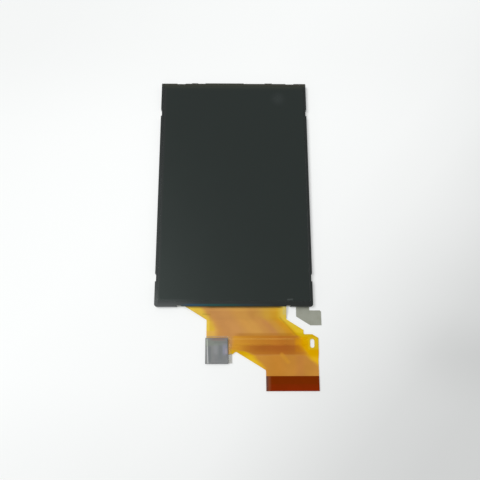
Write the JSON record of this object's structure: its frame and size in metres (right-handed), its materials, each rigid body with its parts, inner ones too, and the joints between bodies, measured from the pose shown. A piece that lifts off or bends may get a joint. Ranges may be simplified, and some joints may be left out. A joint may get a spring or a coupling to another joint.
{
  "type": "lcd display",
  "caption": "Thin rectangular liquid crystal display in a black folded rim, with a shaped amber flexible circuit, stiffened contact end, grey gasket and steel earth lug.",
  "frame": {"origin": "centre of the panel's rear face, on the surface that the display lies on", "axes": "+Z out of the display's face, +Y up the panel away from the flexible circuit, +X to the right seen from the front"},
  "size_m": [0.0484, 0.096, 0.0019],
  "materials": {
    "black_coated_steel": "satin",
    "face_film": "gloss",
    "cell_glass": "polished",
    "polarizing_film": "gloss",
    "black_tape": "matte",
    "prism_film": "satin",
    "diffusing_film": "matte",
    "guide_acrylic": "gloss",
    "reflecting_film": "gloss",
    "white_plastic": "matte",
    "bare_steel": "matte",
    "led_package": "matte",
    "chip_silicon": "gloss",
    "sealing_silicone": "satin",
    "amber_polyimide": "satin",
    "dark_polyimide": "satin",
    "adhesive_tape": "matte",
    "conductive_cloth": "satin",
    "foam": "matte",
    "liner_film": "gloss",
    "gold_plating": "gloss",
    "solder": "satin"
  },
  "bodies": {
    "root": {"front_bezel": "black_coated_steel", "front_polarizer": "face_film", "tft_glass": "cell_glass", "color_filter_glass": "cell_glass", "rear_polarizer": "polarizing_film", "rim_tape": "black_tape", "upper_prism_sheet": "prism_film", "lower_prism_sheet": "prism_film", "diffuser_sheet": "diffusing_film", "light_guide": "guide_acrylic", "reflector_sheet": "reflecting_film", "mold_frame": "white_plastic", "rear_chassis": "bare_steel", "driver_chip": "chip_silicon", "edge_sealant": "sealing_silicone", "led_flex": "amber_polyimide", "main_flex": "amber_polyimide", "flex_stiffener": "dark_polyimide", "contact_fingers": "gold_plating", "flex_tape": "adhesive_tape", "gasket_foil": "conductive_cloth", "gasket_core": "foam", "gasket_liner": "liner_film", "solder_joints": "solder", "led_1": "led_package", "led_2": "led_package", "led_3": "led_package", "led_4": "led_package", "led_5": "led_package", "led_6": "led_package"}
  },
  "joints": []
}
